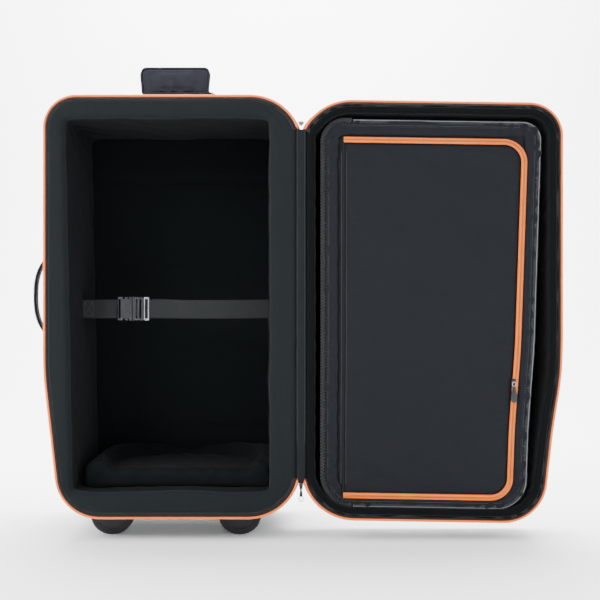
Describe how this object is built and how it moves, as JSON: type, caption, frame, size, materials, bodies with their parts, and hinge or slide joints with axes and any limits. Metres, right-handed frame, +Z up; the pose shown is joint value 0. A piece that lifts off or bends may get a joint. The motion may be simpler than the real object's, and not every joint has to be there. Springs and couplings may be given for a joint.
{
  "type": "wheeled telescope carry case",
  "caption": "Tall soft-sided wheeled case with a foam-lined bay for a large telescope tube, a tube strap, a zipped lid pocket and orange piping, shown open.",
  "frame": {"origin": "on the floor, under the middle of the opened case", "axes": "+X from the base towards the opened lid, +Y from the rims to the case's back, +Z up"},
  "size_m": [1.061, 0.3264, 0.955],
  "materials": {
    "shell_nylon": "coarse woven nylon, matt",
    "stiffener_board": "plain sheet",
    "foam_lining": "fine brushed lining cloth over foam",
    "orange_piping": "woven piping over cord",
    "zipper_tape": "woven tape with coil teeth",
    "hinge_fabric": "woven nylon",
    "strap_webbing": "flat woven webbing",
    "buckle_plastic": "moulded, satin",
    "bright_metal": "polished",
    "handle_webbing": "padded webbing",
    "wrap_nylon": "woven nylon with bound edge",
    "moulded_plastic": "fine-textured moulding",
    "trolley_metal": "satin anodised",
    "foot_rubber": "smooth moulded",
    "wheel_tyre": "matt",
    "hub_plastic": "moulded, satin",
    "slider_black": "satin",
    "pocket_nylon": "woven nylon, lightly padded",
    "orange_zipper": "woven zipper tape with coil"
  },
  "bodies": {
    "base": {"base_shell": "shell_nylon", "board_hinge_side": "stiffener_board", "board_free_side": "stiffener_board", "board_top": "stiffener_board", "board_bottom": "stiffener_board", "foam_bottom": "foam_lining", "foam_free_side": "foam_lining", "foam_top": "foam_lining", "foam_hinge_side": "foam_lining", "foam_back": "foam_lining", "foam_cradle": "foam_lining", "base_piping": "orange_piping", "base_zipper_tape": "zipper_tape", "base_hinge_leaf": "hinge_fabric", "strap_anchored": "strap_webbing", "strap_running": "strap_webbing", "buckle_socket": "buckle_plastic", "top_handle_anchor_free": "moulded_plastic", "top_handle_anchor_hinge": "moulded_plastic", "side_handle_anchor_lower": "moulded_plastic", "side_handle_anchor_upper": "moulded_plastic", "trolley_outer_tube_free": "trolley_metal", "trolley_outer_tube_hinge": "trolley_metal", "trolley_foot": "moulded_plastic", "trolley_bezel": "moulded_plastic", "front_foot_free": "foot_rubber", "wheel_housing_free": "moulded_plastic", "axle_free": "trolley_metal", "front_foot_hinge": "foot_rubber", "wheel_housing_hinge": "moulded_plastic", "axle_hinge": "trolley_metal", "main_zip_slider": "bright_metal", "zip_top_stop": "bright_metal"},
    "lid": {"lid_shell": "shell_nylon", "lid_foam_walls": "foam_lining", "lid_foam_back": "foam_lining", "lid_piping": "orange_piping", "lid_zipper_tape": "zipper_tape", "lid_hinge_leaf": "hinge_fabric", "pocket_body": "pocket_nylon", "pocket_zipper": "orange_zipper"},
    "pocket_flap": {"pocket_flap": "pocket_nylon"},
    "pocket_slider": {"pocket_zip_slider": "slider_black"},
    "pocket_pull": {"pocket_zip_pull": "bright_metal"},
    "buckle_plug": {"buckle_plug": "buckle_plastic", "strap_adjuster": "bright_metal"},
    "top_handle": {"top_handle": "handle_webbing"},
    "handle_wrap": {"top_handle_wrap": "wrap_nylon"},
    "side_handle": {"side_handle": "handle_webbing"},
    "trolley": {"trolley_stage_tube_free": "trolley_metal", "trolley_stage_tube_hinge": "trolley_metal", "trolley_grip": "moulded_plastic"},
    "trolley_button": {"trolley_button": "moulded_plastic"},
    "wheel_free": {"tyre_free": "wheel_tyre", "wheel_hub_free": "hub_plastic"},
    "wheel_hinge": {"tyre_hinge": "wheel_tyre", "wheel_hub_hinge": "hub_plastic"},
    "main_pull": {"main_zip_pull": "bright_metal"}
  },
  "joints": [
    {"name": "lid_hinge", "type": "hinge", "parent": "base", "child": "lid", "pos_m": [0.0255, -0.1588, 0.4595], "axis": [0, 0, -1], "range_deg": [0, 180]},
    {"name": "pocket_flap_hinge", "type": "hinge", "parent": "lid", "child": "pocket_flap", "pos_m": [0.1088, -0.1448, 0.4447], "axis": [0, 0, 1], "range_deg": [-100, 0]},
    {"name": "pocket_slider_slide", "type": "slide", "parent": "lid", "child": "pocket_slider", "axis": [0.034, 0, 0.9994], "range_m": [-0.18, 0.42]},
    {"name": "pocket_pull_swing", "type": "hinge", "parent": "pocket_slider", "child": "pocket_pull", "pos_m": [0.4426, -0.1506, 0.312], "axis": [1, 0, 0], "range_deg": [-90, 0]},
    {"name": "buckle_release", "type": "slide", "parent": "base", "child": "buckle_plug", "axis": [1, 0, 0], "range_m": [0, 0.045], "deforming": ["strap_running"]},
    {"name": "top_handle_swing", "type": "hinge", "parent": "base", "child": "top_handle", "pos_m": [-0.227, -0.0188, 0.884], "axis": [-1, 0, 0], "range_deg": [-50, 50]},
    {"name": "handle_wrap_fold", "type": "hinge", "parent": "top_handle", "child": "handle_wrap", "pos_m": [-0.235, -0.0392, 0.905], "axis": [1, 0, 0], "range_deg": [0, 85]},
    {"name": "side_handle_swing", "type": "hinge", "parent": "base", "child": "side_handle", "pos_m": [-0.4885, -0.0188, 0.481], "axis": [0, 0, 1], "range_deg": [-50, 50]},
    {"name": "trolley_slide", "type": "slide", "parent": "base", "child": "trolley", "axis": [0, 0, 1], "range_m": [0, 0.26]},
    {"name": "trolley_button_press", "type": "slide", "parent": "trolley", "child": "trolley_button", "axis": [0, 0, -1], "range_m": [0, 0.003], "stiffness_N_per_m": 300},
    {"name": "wheel_free_spin", "type": "hinge", "parent": "base", "child": "wheel_free", "pos_m": [-0.377, 0.1232, 0.04], "axis": [1, 0, 0], "continuous": true},
    {"name": "wheel_hinge_spin", "type": "hinge", "parent": "base", "child": "wheel_hinge", "pos_m": [-0.077, 0.1232, 0.04], "axis": [1, 0, 0], "continuous": true},
    {"name": "main_pull_swing", "type": "hinge", "parent": "base", "child": "main_pull", "pos_m": [0.0255, -0.1612, 0.11], "axis": [1, 0, 0], "range_deg": [-90, 0]}
  ]
}
